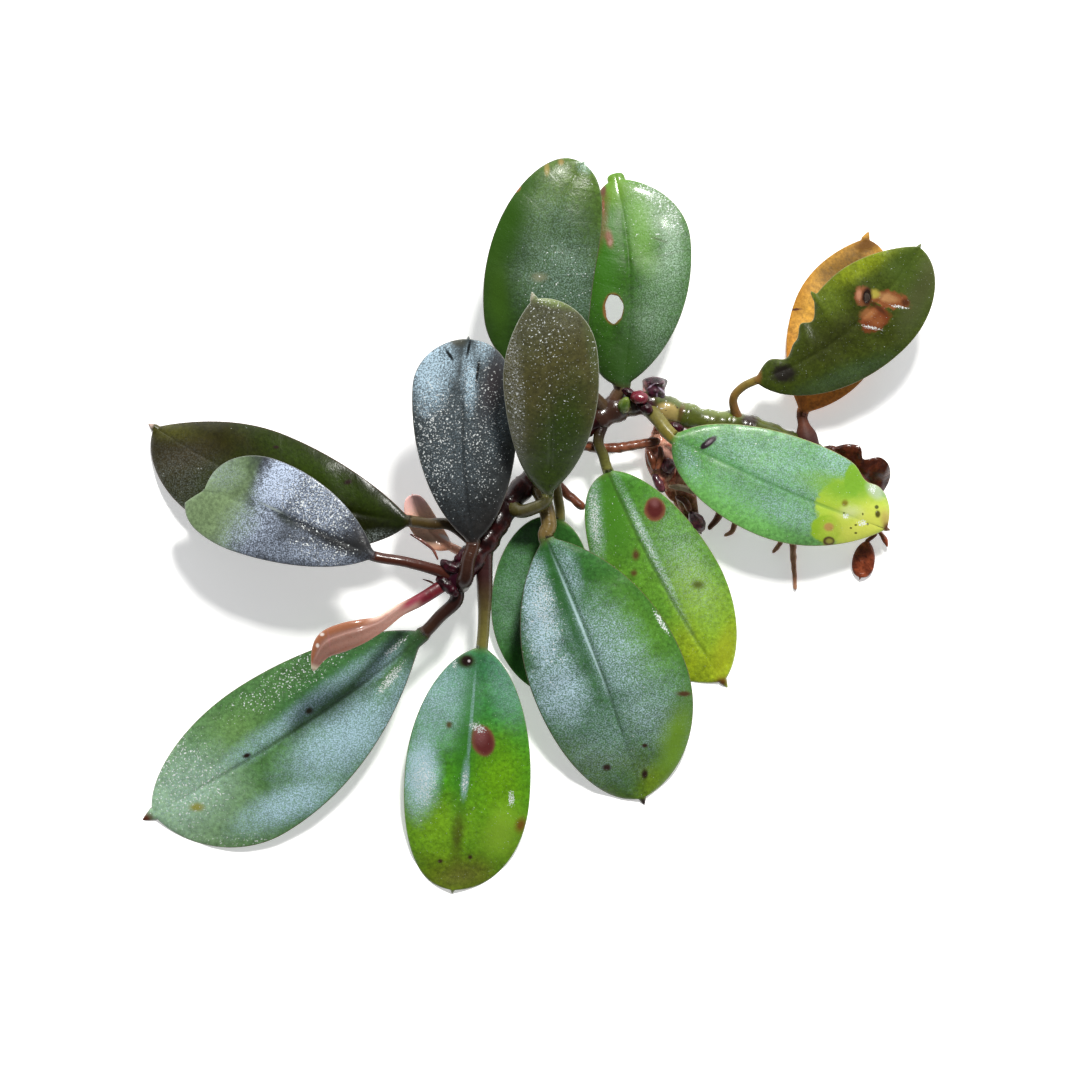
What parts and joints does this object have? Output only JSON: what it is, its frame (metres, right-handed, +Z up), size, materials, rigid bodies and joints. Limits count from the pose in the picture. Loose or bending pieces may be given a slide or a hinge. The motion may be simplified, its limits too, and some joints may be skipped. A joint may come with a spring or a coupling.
{
  "type": "bucephalandra plant cutting",
  "caption": "Aquarium plant cutting that lies on a surface: creeping rhizome with stalked oval leaves, a rolled young leaf, dead leaves and roots.",
  "frame": {"origin": "centre of the plant's box in plan, at the level of the surface that it lies on", "axes": "+Z up off the surface, +X along the plant from its left leaves to its right rhizome, +Y across it away from the viewer"},
  "size_m": [0.1111, 0.1032, 0.0291],
  "materials": {
    "leaf_green": "glossy wet leaf, deep green with silver-blue sheen and fine white specks",
    "leaf_bright": "glossy wet leaf, light green with silver sheen and fine white specks",
    "leaf_pale": "glossy wet leaf, pale blue-green with a spotted yellow-green tip",
    "leaf_silver": "glossy wet leaf, dark slate with silver-blue sheen and dense specks",
    "leaf_olive": "glossy wet leaf, dark olive with white specks",
    "leaf_yellow": "dying leaf, yellow-orange with brown patches",
    "young_pink": "thin glossy young leaf or scale, pink to crimson",
    "rhizome_green": "smooth fleshy stem with ring scars, yellow-green to tan",
    "rhizome_red": "glossy fleshy stem with ring scars, dark red-brown to purple",
    "dead_brown": "wet decayed leaf tissue, dark brown and glossy",
    "root_brown": "thin matt brown root"
  },
  "bodies": {
    "root": {"rhizome_left": "rhizome_red", "rhizome_middle": "rhizome_green", "rhizome_right": "rhizome_green", "leaf_left_back": "leaf_olive", "leaf_left_silver": "leaf_silver", "leaf_lower_left": "leaf_green", "leaf_bottom": "leaf_bright", "leaf_silver_upright": "leaf_silver", "leaf_olive_upright": "leaf_olive", "leaf_centre": "leaf_green", "leaf_behind_centre": "leaf_green", "leaf_top_left": "leaf_green", "leaf_top_holed": "leaf_bright", "leaf_lower_right": "leaf_bright", "leaf_right_pale": "leaf_pale", "leaf_far_right": "leaf_green", "leaf_yellow": "leaf_yellow", "young_leaf": "young_pink", "scale_leaf_pink": "young_pink", "scale_crimson": "young_pink", "bud_green": "leaf_bright", "stem_stump": "dead_brown", "dead_leaf_right": "dead_brown", "dead_leaf_small": "dead_brown", "dead_sheath_1": "dead_brown", "dead_sheath_2": "dead_brown", "dead_sheath_3": "dead_brown", "old_stalk": "dead_brown", "root_stub": "root_brown", "root_1": "root_brown", "root_2": "root_brown", "root_3": "root_brown", "root_4": "root_brown"}
  },
  "joints": []
}
